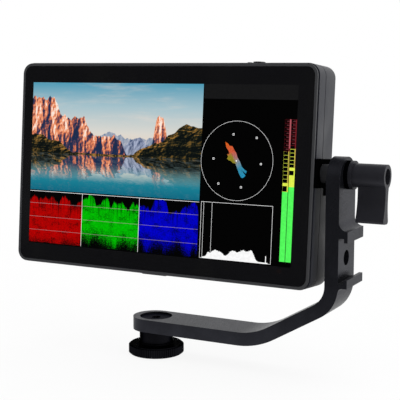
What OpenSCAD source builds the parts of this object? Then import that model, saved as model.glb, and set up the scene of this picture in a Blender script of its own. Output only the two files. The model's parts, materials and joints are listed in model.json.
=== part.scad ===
// Camera field monitor on a one-piece bent tilt arm with a side cold shoe.
// Millimetres. The origin is the middle of the swivel post's underside, where the camera
// thread is. +Z is up, the screen faces -Y and +X is to the viewer's right.
// The monitor is drawn about its tilt pivot, standing upright, and is then leaned back.

/* [Housing] */
// Width of the picture, with a height in the ratio 16:9
display_w = 132.8; // [110:0.1:160]
// Border between the picture and the housing's sides
side_border = 7.4; // [6.5:0.1:14]
// Border between the picture and the housing's top and bottom
end_border = 9.1; // [8:0.1:16]
// Depth from the glass face to the back
housing_d = 20.8; // [19.6:0.1:26]
// Depth from the glass face to the pivot
pivot_depth = 10; // [9:0.1:11]
// Radius of the housing's corners, seen from the front
corner_r = 5.2; // [4.2:0.1:8]
// Thickness of the housing walls
wall = 1.8; // [1.4:0.1:2.2]
// Distance from the housing's outline in to the glass
rim_w = 1.6; // [1.4:0.1:3]
// Distance from the housing's outline in to the rim
rim_inset = 0.3; // [0.2:0.1:0.6]
// Depth of the rim's outer band
rim_d = 0.9; // [0.6:0.1:1.2]
// Width of the shadow groove behind the rim
groove_w = 0.8; // [0.3:0.1:1]
// Depth from the glass face to the seam between the housing halves
seam_y = 8.7; // [8.4:0.1:10.2]
// Radius rounded onto the back edges
back_round = 1.5; // [1:0.1:2.6]

/* [Display] */
// Offset of the picture from the middle of the glass, to the right
display_shift = -1; // [-1.5:0.1:1.5]
// Thickness of the touch glass
glass_t = 1.1; // [0.8:0.1:1.4]
// Thickness of the picture panel
lcd_t = 2; // [1.4:0.1:2.2]
// Thickness of the lamp unit behind the panel
backlight_t = 2.5; // [1.8:0.1:2.6]

/* [Tilt pivot] */
// Height of the pivot above the middle of the housing
pivot_above = 1.7; // [0:0.1:8]
// Lean of the monitor in the stored pose, in degrees
rest_tilt = 4.9; // [0:0.1:10]
// Gap between the housing's side and the arm
side_gap = 5; // [4:0.1:9]
// Diameter of the camera thread used at every mounting point
thread_d = 6.35; // [6.35:0.01:6.35]
// Diameter of the pivot stud where it shows beside the housing
stud_boss_d = 7.8; // [6.6:0.1:8]
// Length of the grip pads on the housing, front to back
pad_len = 16.8; // [14:0.1:17.4]
// Width of the grip pads
pad_w = 11.8; // [11:0.1:14]

/* [Arm] */
// Width of the arm's flat bar
arm_w = 19.4; // [18:0.1:26]
// Thickness of the arm's flat bar
arm_t = 5.8; // [5:0.1:7]
// Distance from the post's axis to the round end of the arm's leg
leg_end = 10.6; // [9.6:0.1:13]
// Distance from the post's axis to the middle of the housing, to the right
base_offset = 6.2; // [0:0.1:14]
// Slope of the arm's diagonal stretch, in degrees
diag_angle = 30; // [25:1:38]
// Height that the diagonal stretch climbs
diag_rise = 19.6; // [16:0.1:26]
// Gap between the housing's swing circle and the arm's diagonal
swing_gap = 4.4; // [3:0.1:9]
// Inside radius of the bend below the cold shoe
upper_bend_r = 9.5; // [3:0.5:10]
// Inside radius of the bend above the post
lower_bend_r = 29; // [20:1:32]
// Distance from the pivot up to the arm's top
head_above = 7.4; // [6.9:0.1:9]

/* [Cold shoe] */
// Width of the slot between the shoe's rails
shoe_slot = 18.6; // [18.6:0.1:18.8]
// Depth of the slot under the shoe's lips
shoe_gap = 2.3; // [2:0.1:2.6]
// Thickness of the shoe's lips
shoe_lip_t = 1.5; // [1.2:0.1:2]
// How far each lip overhangs the slot
shoe_lip = 1.7; // [1.4:0.1:3]
// Thickness of the upper rail
shoe_rail_top = 2.9; // [2:0.1:4]
// Thickness of the lower rail
shoe_rail_bottom = 1.9; // [1.6:0.1:3]
// Radius of the hollow fillet above the upper rail
shoe_fillet = 3.8; // [2:0.1:3.8]
// Radius of the hollow fillet below the lower rail
shoe_fillet_low = 1.8; // [1:0.1:2.4]
// Height of the shoe's middle above the end of the upper bend
shoe_rise = 11.1; // [10.5:0.1:16]

/* [Post and lock wheel] */
// Diameter of the knurled lock wheel
wheel_d = 25.2; // [21:0.1:30]
// Thickness of the lock wheel
wheel_t = 4.5; // [3:0.1:6]
// Number of ribs round the lock wheel
wheel_ribs = 72; // [48:1:90]
// Diameter of the post's neck
neck_d = 15.2; // [13:0.1:17]
// Height of the neck from the collar to the washer
neck_h = 5.1; // [4:0.1:9]
// Diameter of the collar above the wheel
collar_d = 16.2; // [15.4:0.1:18]
// Thickness of the collar
collar_t = 0.9; // [0.8:0.1:2]
// Thickness of the washer between the post and the arm
post_washer_t = 0.6; // [0.4:0.1:1]
// Diameter of the counterbore on top of the arm's end
bolt_seat_d = 14.7; // [13:0.1:15]
// Depth of that counterbore
bolt_seat_h = 2.3; // [1.8:0.1:3]
// Thickness of the bolt's flat head
bolt_head_t = 1.6; // [1.2:0.1:1.7]
// Width of the bolt's hexagon socket
hex_w = 4; // [3:0.5:6]

/* [Clamp knob] */
// Diameter of the knob's barrel
barrel_d = 9.8; // [8.2:0.1:11]
// Length of the knob's barrel
barrel_len = 12.3; // [10:0.1:18]
// Distance from the knob's axis to the end of its wing
wing_len = 19.2; // [16:0.1:24]
// Thickness of the wing at its waist
wing_waist_t = 3.4; // [2.4:0.1:4]
// Thickness of the wing at its foot
wing_foot_t = 6.2; // [5:0.1:7]
// Diameter of the knob's flange and of the washer under it
flange_d = 11.8; // [10:0.1:14]
// Thickness of the knob's flange
flange_t = 1.4; // [1:0.1:2]
// Thickness of the washer under the knob
washer_t = 1.8; // [1:0.1:2.4]

/* [Buttons] */
// Diameter of the power button
power_d = 5.2; // [4:0.1:7]
// Diameter of the function button
function_d = 2.2; // [2:0.1:3]
// How far the power button stands up
power_up = 1.3; // [1:0.1:2.5]
// How far the function button stands up
function_up = 1.1; // [1:0.1:2.5]
// Travel of both buttons
button_travel = 0.5; // [0.3:0.1:0.6]
// Distance of the power button from the housing's right side
power_in = 32.1; // [24:0.1:44]
// How far the buttons' inner lips reach past their caps
cap_lip = 0.2; // [0.2:0.05:0.4]

/* [Battery plate] */
// Width of the battery plate
plate_w = 41; // [38:0.5:48]
// Height of the battery plate
plate_h = 64; // [56:1:70]
// Thickness of the battery plate
plate_t = 2.6; // [2.4:0.1:4]
// How far the hooks stand out of the plate
hook_up = 2.4; // [2:0.1:3]
// How far the battery latch presses in
latch_travel = 1.9; // [1.5:0.1:2.2]

/* [Hidden] */
$fn = 64;

// Clearances
fit = 0.05;          // radial running or thread clearance
slip = 0.1;          // clearance round pieces dropped into pockets
gap = 0.3;           // free gap between pieces that pass each other
joint_overlap = 1;   // length by which joined bars of one piece run into each other

// The housing's size, from the picture out
display_h = display_w * 9 / 16;
housing_w = display_w + 2 * side_border;
housing_h = display_h + 2 * end_border;

// Heights of the post and of the arm's leg
wheel_z = gap;
collar_z = wheel_z + wheel_t + gap / 2;
neck_z = collar_z + collar_t;
washer_z = neck_z + neck_h;
leg_z = washer_z + post_washer_t;
leg_top = leg_z + arm_t;
stub_d = collar_d - 4.6;
spigot_d = 8;
base_thread_depth = 7;

// The housing about the pivot
housing_x = base_offset;
housing_z = -pivot_above;
side_x = housing_x + housing_w / 2;
left_x = housing_x - housing_w / 2;
bottom_z = housing_z - housing_h / 2;
top_z = housing_z + housing_h / 2;
front_y = -pivot_depth;
back_y = front_y + housing_d;
frame_back = front_y + rim_d + groove_w;
groove_in = 0.5;
seam = front_y + seam_y;
swing_r = norm([housing_h / 2 + pivot_above, max(-front_y, back_y)]);

// The arm's corners, on the lines of its faces
arm_x = side_x + side_gap;
arm_out = arm_x + arm_t;
turn_up = 90 - diag_angle;
leg_mid_z = leg_z + arm_t / 2;
arm_mid_x = arm_x + arm_t / 2;
corner_z = leg_mid_z + diag_rise;
corner_x = arm_mid_x - diag_rise / tan(diag_angle);
inner_corner_z = corner_z + arm_t / 2 * tan(turn_up / 2);
pivot_z = inner_corner_z - side_gap * tan(diag_angle) + swing_gap + swing_r;
upper_mid_r = upper_bend_r + arm_t / 2;
lower_mid_r = lower_bend_r + arm_t / 2;
upper_run = upper_mid_r * tan(turn_up / 2);
lower_run = lower_mid_r * tan(diag_angle / 2);
head_top = pivot_z + head_above;
head_z = head_top - arm_w / 2;
leg_end_x = arm_w / 2 - leg_end;

// The cold shoe on the arm's outer face
shoe_z = corner_z + upper_run + shoe_rise;
shoe_out = arm_out + shoe_gap + shoe_lip_t;
slot_top = shoe_z + shoe_slot / 2;
slot_bottom = shoe_z - shoe_slot / 2;

// The pivot stud, washer and knob along the pivot's axis
stud_flange_d = 10;
stud_flange_t = 1.2;
stud_seat_d = stud_flange_d + 0.6;
knob_x = arm_out + washer_t;
barrel_x = knob_x + flange_t + 1.3;
barrel_end = barrel_x + barrel_len;
wing_step = 0.6;
socket_d = 6.4;
socket_depth = 4;
stud_end = barrel_end - socket_depth;
block_len = 9;
block_nose_d = 10;

// Layers of the monitor, front to back
glass_y = front_y + glass_t;
lcd_y = glass_y + lcd_t;
light_y = lcd_y + backlight_t;
spreader_t = 1;
spreader_y = light_y + spreader_t;
shelf_t = 1;
shelf_in = 2.5;
board_t = 1.6;
board_y = front_y + 10.4;
board_back = board_y + board_t;
cover_inner = back_y - wall;
lcd_w = display_w + 4.2;
lcd_h = display_h + 5.4;
picture_x = housing_x + display_shift;
glass_w = housing_w - 2 * rim_w;
glass_h = housing_h - 2 * rim_w;
glass_r = corner_r - rim_w;
lens_d = 1.9;
lens_x = housing_x + display_w / 2 - 6.1;
lens_z = housing_z - display_h / 2 - 1.9;

// The sockets, stacked above and below the thread in the left wall
video_w = 15;
video_h = 5.8;
video_depth = 11.5;
video_out_z = pivot_above + pad_w / 2 + 0.7 + video_w / 2;
video_in_z = video_out_z + video_w + 1;
headphone_z = pivot_above - pad_w / 2 - 8.3;
headphone_d = 6;
usb_z = headphone_z - 9.5;
usb_w = 9.4;
usb_h = 3.6;
dc_z = usb_z - 11.5;
dc_d = 6.8;

// The board and its standoffs
board_left = left_x + wall + 0.4;
board_w = housing_w - 37.4;
board_low = housing_z + dc_z - 0.5;
board_h = video_in_z - dc_z + 5.2;
standoff_d = 5;
standoff_pts = [for (x = [18, board_w - 18], z = [9, board_h - 11.5])
  [board_left + x, board_low + z]];
notch_w = pad_w + 2;
block_room = wall + block_len + 0.5;
ribbon_x = housing_x + 15.4;
ribbon_w = 12;

// Screws that close the housing
screw_head_d = 4.4;
screw_head_t = 1.2;
screw_d = 2.5;
screw_tube_d = 6.4;
screw_in = 4.1;
screw_x = housing_w / 2 - wall - 14.9;
screw_z = housing_h / 2 - wall - screw_in;
screw_mid_x = notch_w / 2 + 19.1;
screw_pts = [[-screw_x, -screw_z], [screw_x, -screw_z], [-screw_x, screw_z],
             [screw_x, screw_z], [-screw_mid_x, -screw_z], [screw_mid_x, -screw_z]];
vent_w = 26;
vent_x = housing_w / 2 - vent_w / 2 - 16.7;

// The buttons, on the top of the back half
button_y = front_y + 12.6;
button_stem = 1.1;
button_board_z = top_z - wall - 3.6;
button_board_t = 1;
switch_h = 1.4;
power_x = housing_w / 2 - power_in;
button_step = (power_d + function_d) / 2 + 2 * cap_lip + gap;
button_pts = [[power_x, power_d, power_up], [power_x - button_step, function_d, function_up]];

// The battery plate on the back
plate_z = housing_z - 2;
plate_back = back_y + plate_t;
plate_screw_pts = [for (x = [-13, 13], z = [-1, 1]) [x, z * (plate_h / 2 - 8)]];
contact_z = plate_h / 2 - 8;
latch_w = 14;
latch_h = 7;
latch_z = -plate_h / 2 + 12;
latch_flange = 0.7;
latch_room_w = latch_w + 2 * latch_flange + gap;
latch_room_h = latch_h + 2 * latch_flange + gap;
spring_rise = 0.25;
spring_t = 0.25;
latch_y = back_y - 0.9;
latch_floor = latch_y - latch_travel - spring_rise - spring_t - slip;

// 2-D and placing helpers

// A rectangle with round corners, centred.
module round_rect(w, h, r) {
  square([w - 2 * r, h], center = true);
  square([w, h - 2 * r], center = true);
  for (x = [-1, 1], z = [-1, 1])
    translate([x * (w / 2 - r), z * (h / 2 - r)]) circle(r = r);
}

// Extrudes an outline drawn in X and Z from y0 back to y1.
module plate(y0, y1) {
  translate([0, y1, 0]) rotate([90, 0, 0]) linear_extrude(y1 - y0) children();
}

// Extrudes an outline drawn in Y and Z from x0 to x1.
module bar_x(x0, x1) {
  translate([x0, 0, 0]) rotate([90, 0, 90]) linear_extrude(x1 - x0) children();
}

// A round bar along X.
module rod_x(x0, x1, d) {
  translate([x0, 0, 0]) rotate([0, 90, 0]) cylinder(h = x1 - x0, d = d);
}

// A round bar along Y.
module rod_y(y0, y1, d) {
  translate([0, y0, 0]) rotate([-90, 0, 0]) cylinder(h = y1 - y0, d = d);
}

// Puts the upright monitor on its pivot and leans it back.
module on_pivot() {
  translate([0, 0, pivot_z]) rotate([-rest_tilt, 0, 0]) children();
}

// Moves to the middle of the housing, seen from the front.
module at_housing() {
  translate([housing_x, 0, housing_z]) children();
}

// The profile of a slab's edge: r wide, d deep, rounded by f at its far corner.
module edge_profile(r, d, f) {
  square([r - f, d]);
  square([r, d - f]);
  translate([r - f, d - f]) circle(r = f);
}

// A slab with round corners and a rounded back edge, from y0 back to y1.
module soft_slab(w, h, y0, y1, r, f) {
  d = y1 - y0;
  translate([0, y0, 0]) {
    for (x = [-1, 1], z = [-1, 1])
      translate([x * (w / 2 - r), 0, z * (h / 2 - r)])
        rotate([-90, 0, 0]) rotate_extrude() edge_profile(r, d, f);
    for (s = [0, 180]) {
      rotate([0, s, 0]) translate([-(w / 2 - r), 0, h / 2 - r])
        rotate([90, 0, 90]) linear_extrude(w - 2 * r)
          mirror([1, -1]) edge_profile(r, d, f);
      rotate([0, s, 0]) translate([w / 2 - r, 0, -(h / 2 - r)])
        linear_extrude(h - 2 * r) edge_profile(r, d, f);
    }
    plate(0, d) square([w - 2 * r, h - 2 * r], center = true);
  }
}

// Post, bolt and lock wheel

module swivel_post() {
  color("dimgray") difference() {
    union() {
      cylinder(h = collar_z, d = stub_d);
      translate([0, 0, collar_z]) cylinder(h = collar_t, d = collar_d);
      translate([0, 0, neck_z]) cylinder(h = neck_h, d = neck_d);
      translate([0, 0, washer_z]) cylinder(h = leg_top - bolt_seat_h - washer_z, d = spigot_d - 2 * fit);
    }
    translate([0, 0, -1]) cylinder(h = base_thread_depth + 1, d = thread_d);
    translate([0, 0, washer_z - 1]) cylinder(h = arm_t + 2, d = 5 + 2 * fit);
  }
}

module base_bolt() {
  color("dimgray") difference() {
    union() {
      translate([0, 0, leg_top - bolt_seat_h + fit]) cylinder(h = bolt_head_t, d = bolt_seat_d - 0.6);
      translate([0, 0, washer_z]) cylinder(h = leg_top - bolt_seat_h + 2 * fit - washer_z, d = 5);
    }
    translate([0, 0, leg_top - bolt_seat_h - 1])
      cylinder(h = arm_t, d = hex_w / cos(30), $fn = 6);
  }
}

module post_washer() {
  color("black") translate([0, 0, washer_z]) difference() {
    cylinder(h = post_washer_t - fit, d = neck_d);
    translate([0, 0, -1]) cylinder(h = post_washer_t + 2, d = spigot_d + 2 * fit);
  }
}

// Ribs stand round the wheel as a saw-tooth outline with a point at each rib's top and foot.
module wheel_outline() {
  rib = 0.35;
  polygon([for (i = [0 : 2 * wheel_ribs - 1])
    (wheel_d / 2 - (i % 2) * rib) * [cos(i * 180 / wheel_ribs), sin(i * 180 / wheel_ribs)]]);
}

module lock_wheel() {
  bevel = 0.5;
  color("dimgray") translate([0, 0, wheel_z]) difference() {
    union() {
      translate([0, 0, bevel]) linear_extrude(wheel_t - 2 * bevel) wheel_outline();
      cylinder(h = wheel_t, d = wheel_d - 4 * bevel);
      for (z = [0, wheel_t - bevel])
        translate([0, 0, z]) cylinder(h = bevel, d = wheel_d - 3 * bevel);
    }
    translate([0, 0, -1]) cylinder(h = wheel_t + 2, d = stub_d + 2 * fit);
  }
}

// Arm

// The space inside the bar's bends, out to a line that runs the given distance outside
// the bar's middle, from x0 on the left up to z1.
module inside_bends(out, x0, z1) {
  low = [corner_x - lower_run, leg_mid_z + lower_mid_r];
  high = [arm_mid_x - upper_mid_r, corner_z + upper_run];
  low_r = lower_mid_r + out;
  high_r = upper_mid_r + out;
  slope = [cos(turn_up), -sin(turn_up)];
  polygon([[x0, leg_mid_z - out], low - [0, low_r], low + low_r * slope,
           high + high_r * slope, high + [high_r, 0], [arm_mid_x + out, z1], [x0, z1]]);
  translate(low) circle(r = low_r, $fn = 128);
  translate(high) circle(r = high_r, $fn = 128);
}

// The bar from the middle of its round end up to the middle of its head, seen from the front.
module bar_outline() {
  difference() {
    inside_bends(arm_t / 2, leg_end_x, head_z);
    inside_bends(-arm_t / 2, leg_end_x - 1, head_z + 1);
  }
}

// The cold shoe's rails, seen from the front.
module shoe_outline() {
  upper = slot_top + shoe_rail_top;
  lower = slot_bottom - shoe_rail_bottom;
  translate([arm_out - joint_overlap, slot_top])
    square([shoe_out - arm_out + joint_overlap, shoe_rail_top]);
  translate([arm_out - joint_overlap, lower])
    square([shoe_out - arm_out + joint_overlap, shoe_rail_bottom]);
  translate([shoe_out - shoe_lip_t, slot_top - shoe_lip]) square([shoe_lip_t, shoe_lip + 1]);
  translate([shoe_out - shoe_lip_t, slot_bottom - 1]) square([shoe_lip_t, shoe_lip + 1]);
  difference() {
    translate([arm_out - joint_overlap, upper - joint_overlap])
      square([shoe_fillet + joint_overlap, shoe_fillet + joint_overlap]);
    translate([arm_out + shoe_fillet, upper + shoe_fillet]) circle(r = shoe_fillet);
  }
  difference() {
    translate([arm_out - joint_overlap, lower - shoe_fillet_low])
      square([shoe_fillet_low + joint_overlap, shoe_fillet_low + joint_overlap]);
    translate([arm_out + shoe_fillet_low, lower - shoe_fillet_low]) circle(r = shoe_fillet_low);
  }
}

module tilt_arm() {
  color("dimgray") difference() {
    union() {
      plate(-arm_w / 2, arm_w / 2) bar_outline();
      translate([leg_end_x, 0, leg_z]) cylinder(h = arm_t, d = arm_w);
      translate([0, 0, head_z]) rod_x(arm_x, arm_out, arm_w);
      plate(-arm_w / 2, arm_w / 2) shoe_outline();
    }
    // Seat and bore over the post
    translate([0, 0, leg_top - bolt_seat_h]) cylinder(h = arm_t, d = bolt_seat_d);
    translate([0, 0, leg_z - 1]) cylinder(h = arm_t + 2, d = spigot_d);
    // Bore and seat for the pivot stud
    translate([0, 0, pivot_z]) rod_x(arm_x - 1, arm_out + 1, thread_d + 2 * fit);
    translate([0, 0, pivot_z]) rod_x(arm_x - 1, arm_x + stud_flange_t + fit, stud_seat_d);
    // Threaded hole in the floor of the cold shoe
    translate([0, 0, shoe_z]) rod_x(arm_x - 1, arm_out + 1, thread_d);
  }
}

// Pivot stud, washer and knob

module pivot_stud() {
  color("gray") on_pivot() {
    rod_x(side_x - block_len + 1, side_x, thread_d);
    rod_x(side_x, arm_x, stud_boss_d);
    rod_x(arm_x, arm_x + stud_flange_t, stud_flange_d);
    rod_x(arm_x, stud_end, thread_d);
  }
}

module outer_washer() {
  color("black") on_pivot() difference() {
    rod_x(arm_out + fit, knob_x - fit, flange_d);
    rod_x(arm_out - 1, knob_x + 1, thread_d + 2 * fit);
  }
}

// The wing seen along the axis: drawn in at the waist by two arcs, with a round-edged foot.
module wing_outline() {
  foot_r = 1.4;
  waist_z = 8.8;
  rise = (wing_foot_t - wing_waist_t) / 2;
  reach = wing_len - foot_r - waist_z;
  waist_r = (reach * reach + rise * rise) / (2 * rise);
  difference() {
    union() {
      translate([-wing_foot_t / 2, foot_r - wing_len]) square([wing_foot_t, wing_len - foot_r]);
      translate([foot_r - wing_foot_t / 2, -wing_len]) square([wing_foot_t - 2 * foot_r, 3]);
      for (y = [-1, 1])
        translate([y * (wing_foot_t / 2 - foot_r), foot_r - wing_len]) circle(r = foot_r);
    }
    for (y = [-1, 1])
      translate([y * (wing_waist_t / 2 + waist_r), -waist_z]) circle(r = waist_r, $fn = 180);
  }
}

module clamp_knob() {
  color("dimgray") on_pivot() difference() {
    union() {
      rod_x(knob_x, knob_x + flange_t, flange_d);
      rod_x(knob_x, barrel_end, barrel_d);
      bar_x(barrel_x + wing_step, barrel_end) wing_outline();
    }
    rod_x(knob_x - 1, barrel_end + 1, thread_d + 2 * fit);
    rod_x(stud_end, barrel_end + 1, socket_d + 0.2);
  }
}

// Front of the monitor

// The housing's outline drawn in by the given distance.
module rim_outline(inset) {
  round_rect(housing_w - 2 * inset, housing_h - 2 * inset, corner_r - inset);
}

module front_frame() {
  color("gray") on_pivot() at_housing() difference() {
    union() {
      plate(front_y, front_y + rim_d) rim_outline(rim_inset);
      plate(front_y, frame_back) rim_outline(rim_inset + groove_in);
    }
    plate(front_y - 1, glass_y) round_rect(glass_w, glass_h, glass_r);
    translate([display_shift, 0, 0]) plate(front_y - 1, frame_back + 1)
      square([lcd_w + 2 * gap, lcd_h + 2 * gap], center = true);
  }
}

module touch_glass() {
  color("black") on_pivot() difference() {
    at_housing() plate(front_y, glass_y)
      round_rect(glass_w - 2 * slip, glass_h - 2 * slip, glass_r - slip);
    translate([lens_x, 0, lens_z]) rod_y(front_y - 1, glass_y + 1, lens_d + 2 * fit);
  }
}

module indicator_lens() {
  color("darkslategray") on_pivot() translate([lens_x, 0, lens_z])
    rod_y(front_y, glass_y, lens_d);
}

module lcd_panel() {
  color("midnightblue") on_pivot() translate([picture_x, 0, housing_z])
    plate(glass_y, lcd_y) square([lcd_w, lcd_h], center = true);
}

module backlight_unit() {
  color("white") on_pivot() translate([picture_x, 0, housing_z])
    plate(lcd_y, light_y) square([lcd_w, lcd_h], center = true);
}

// The plate behind the lamp unit, with its standoffs for the board.
module heat_spreader() {
  spreader_w = housing_w - 2 * wall - 1;
  spreader_h = housing_h - 2 * wall - 1;
  color("silver") on_pivot() {
    difference() {
      at_housing() plate(light_y, spreader_y) round_rect(spreader_w, spreader_h, 3);
      for (x = [left_x, side_x])
        translate([x, 0, 0]) cube([2 * block_room, housing_d, notch_w], center = true);
      translate([housing_x, 0, bottom_z])
        cube([notch_w, housing_d, 2 * block_room], center = true);
      translate([ribbon_x - ribbon_w / 2 - 0.5, front_y, bottom_z])
        cube([ribbon_w + 1, housing_d, housing_h / 2 - lcd_h / 2 + 1]);
    }
    for (p = standoff_pts)
      translate([p[0], 0, p[1]]) difference() {
        rod_y(spreader_y - joint_overlap / 2, board_y, standoff_d);
        rod_y(spreader_y, board_y + 1, screw_d + 2 * fit);
      }
  }
}

// Housing

// Cuts for a mounting point on the side facing +X: a recess for the grip pad, the hole
// through it and the slot that keeps a bracket from turning on its screw.
module pad_recess() {
  rod_x(-wall - 1, 1, block_nose_d + 2 * slip);
  translate([-0.6, front_y + 1.5 - slip, -pad_w / 2 - slip])
    cube([2, pad_len + 2 * slip, pad_w + 2 * slip]);
  translate([-1.2, 3.2, -pad_w / 2 - 3.3]) cube([2.2, 2.4, 3.3 - gap]);
}

module pad_recesses() {
  translate([side_x, 0, 0]) pad_recess();
  translate([left_x, 0, 0]) mirror([1, 0, 0]) pad_recess();
  translate([housing_x, 0, bottom_z]) rotate([0, 90, 0]) pad_recess();
}

// The side ring of the housing, with the shelf that the heat spreader rests on.
module mid_frame() {
  inner_w = housing_w - 2 * wall;
  inner_h = housing_h - 2 * wall;
  step = 0.3;
  color("dimgray") on_pivot() difference() {
    at_housing() difference() {
      union() {
        difference() {
          union() {
            plate(frame_back, seam - step) round_rect(housing_w, housing_h, corner_r);
            plate(frame_back, seam)
              round_rect(housing_w - 2 * step, housing_h - 2 * step, corner_r - step);
          }
          plate(frame_back - 1, seam + 1) round_rect(inner_w, inner_h, corner_r - wall);
        }
        difference() {
          plate(spreader_y, spreader_y + shelf_t)
            round_rect(inner_w + 1, inner_h + 1, corner_r - wall + 0.5);
          plate(spreader_y - 1, spreader_y + shelf_t + 1)
            square([inner_w - 2 * shelf_in, inner_h - 2 * shelf_in], center = true);
        }
        for (p = screw_pts) translate([p[0], 0, p[1]]) rod_y(spreader_y, seam, screw_tube_d);
      }
      for (p = screw_pts)
        translate([p[0], 0, p[1]]) rod_y(spreader_y - 1, seam + 1, screw_d + 2 * fit);
    }
    pad_recesses();
    // Room for the mounting blocks behind the wall
    for (x = [left_x + wall + block_len / 2, side_x - wall - block_len / 2])
      translate([x, 0, 0]) cube([block_len, housing_d, notch_w], center = true);
    translate([housing_x, 0, bottom_z + wall + block_len / 2])
      cube([notch_w, housing_d, block_len], center = true);
  }
}

// One slotted opening in the left wall, drawn about a socket at height z.
module socket_cut(z, w, h, y) {
  translate([left_x - 1, y - h / 2, z - w / 2]) cube([wall + 2, h, w]);
}

module vents() {
  for (s = [-1, 1], i = [0 : 6])
    translate([s * vent_x, 0, 6 + i * 3.8])
      plate(cover_inner - 1, back_y + 1) round_rect(vent_w, 1.6, 0.79);
}

module rear_cover() {
  inner_w = housing_w - 2 * wall;
  inner_h = housing_h - 2 * wall;
  color("dimgray") on_pivot() difference() {
    union() {
      at_housing() difference() {
        soft_slab(housing_w, housing_h, seam, back_y, corner_r, back_round);
        plate(seam - 1, cover_inner) round_rect(inner_w, inner_h, corner_r - wall);
        vents();
      }
      at_housing() for (p = screw_pts)
        translate([p[0], 0, p[1]]) rod_y(seam, cover_inner + 1, screw_tube_d);
      translate([housing_x, 0, plate_z + latch_z]) plate(latch_floor - 0.8, cover_inner + 1)
        square([latch_room_w + 2, latch_room_h + 2], center = true);
    }
    at_housing() for (p = screw_pts) translate([p[0], 0, p[1]]) {
      rod_y(seam - 1, back_y + 1, screw_d + 2 * fit);
      rod_y(back_y - screw_head_t, back_y + 1, screw_head_d + 2 * slip);
    }
    pad_recesses();
    for (z = [video_in_z, video_out_z])
      socket_cut(housing_z + z, video_w + 2 * slip, video_h + 2 * slip, board_back + video_h / 2);
    translate([0, board_back + 3, housing_z + headphone_z])
      rod_x(left_x - 1, left_x + wall + 1, headphone_d + 2 * slip);
    socket_cut(housing_z + usb_z, usb_w + 2 * slip, usb_h + 2 * slip, board_back + usb_h / 2);
    translate([0, board_back + 3, housing_z + dc_z])
      rod_x(left_x - 1, left_x + wall + 1, dc_d + 2 * slip);
    for (b = button_pts) translate([housing_x + b[0], button_y, top_z - wall - 1])
      cylinder(h = wall + 2, d = b[1] + 2 * slip);
    // Screw holes and wire opening under the battery plate
    translate([housing_x, 0, plate_z]) {
      for (p = plate_screw_pts)
        translate([p[0], 0, p[1]]) rod_y(cover_inner - 1, back_y + 1, screw_d + 2 * fit);
      translate([-6, cover_inner - 1, contact_z - 2]) cube([12, wall + 2, 4]);
      translate([0, 0, latch_z]) plate(latch_floor, back_y + 1)
        square([latch_room_w, latch_room_h], center = true);
    }
  }
}

module rear_screws() {
  color("black") on_pivot() at_housing() for (p = screw_pts)
    translate([p[0], 0, p[1]]) difference() {
      union() {
        rod_y(back_y - screw_head_t, back_y - 0.1, screw_head_d);
        rod_y(spreader_y + 0.4, back_y - screw_head_t, screw_d);
      }
      plate(back_y - 0.8, back_y + 1) circle(d = 1.8, $fn = 6);
    }
}

// Board and sockets

// The board with its chips, each given by its middle, width and height.
module main_board() {
  chips = [[32, 42, 16, 16], [58, 28, 14, 14], [56, 54, 9, 12], [84, 36, 10, 10], [34, 14, 12, 8]];
  color("darkgreen") on_pivot() difference() {
    translate([board_left, 0, board_low]) {
      translate([0, board_y, 0]) cube([board_w, board_t, board_h]);
      for (c = chips)
        translate([c[0] - c[2] / 2, board_back - 0.1, c[1] - c[3] / 2]) cube([c[2], 1.5, c[3]]);
    }
    translate([left_x, board_y, 0]) cube([2 * block_room, housing_d, notch_w], center = true);
    for (p = standoff_pts)
      translate([p[0], 0, p[1]]) rod_y(board_y - 1, board_back + 1, screw_d + 2 * fit);
  }
}

module board_screws() {
  color("silver") on_pivot() for (p = standoff_pts)
    translate([p[0], 0, p[1]]) {
      rod_y(board_back, board_back + 1.4, screw_head_d);
      rod_y(board_y - 3, board_back + 0.1, screw_d);
    }
}

// A folded ribbon from the panel's lower edge, round behind the lamp unit to the board.
module display_ribbon() {
  t = 0.4;
  low = housing_z - lcd_h / 2 - 1.2;
  high = board_low + 5.8;
  front = frame_back + slip;
  back = spreader_y + 2.2;
  color("orange") on_pivot() bar_x(ribbon_x - ribbon_w / 2, ribbon_x + ribbon_w / 2) {
    translate([front, low]) square([t, 1.2]);
    translate([front, low]) square([back + t - front, t]);
    translate([back, low]) square([t, high - low]);
    translate([back, high - t]) square([board_y - back, t]);
  }
}

// A video socket: a shell round an open mouth with a contact tongue.
module video_socket(z) {
  color("silver") on_pivot() translate([left_x + 0.3, board_back, housing_z + z - video_w / 2]) {
    difference() {
      cube([video_depth, video_h, video_w]);
      translate([-1, 0.6, 0.6]) cube([video_depth - 1, video_h - 1.2, video_w - 1.2]);
    }
    translate([1, 2.3, 2.6]) cube([video_depth - 2, 1.2, video_w - 5.2]);
  }
}

module video_in_socket() { video_socket(video_in_z); }

module video_out_socket() { video_socket(video_out_z); }

// A round jack: a block on the board with a nose through the wall.
module round_jack(z, nose_d, bore_d, body_w) {
  on_pivot() translate([left_x, board_back + 3, housing_z + z]) difference() {
    union() {
      translate([wall + 0.1, -3, -body_w / 2]) cube([10, 6, body_w]);
      rod_x(0.2, wall + 0.3, nose_d);
    }
    rod_x(-1, 10, bore_d);
  }
}

module headphone_jack() { color("black") round_jack(headphone_z, headphone_d, 3.6, 7); }

module dc_jack() {
  color("black") round_jack(dc_z, dc_d, 5.6, 9);
  color("silver") on_pivot() translate([left_x, board_back + 3, housing_z + dc_z])
    rod_x(1.5, 10.5, 2);
}

module usb_port() {
  color("silver") on_pivot() translate([left_x + 0.3, board_back, housing_z + usb_z]) {
    difference() {
      translate([0, 0, -usb_w / 2]) cube([8, usb_h, usb_w]);
      translate([-1, 0.4, 0.4 - usb_w / 2]) cube([7.6, usb_h - 0.8, usb_w - 0.8]);
    }
    translate([1, 1.45, -3.2]) cube([6, 0.7, 6.4]);
  }
}

// Buttons

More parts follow.
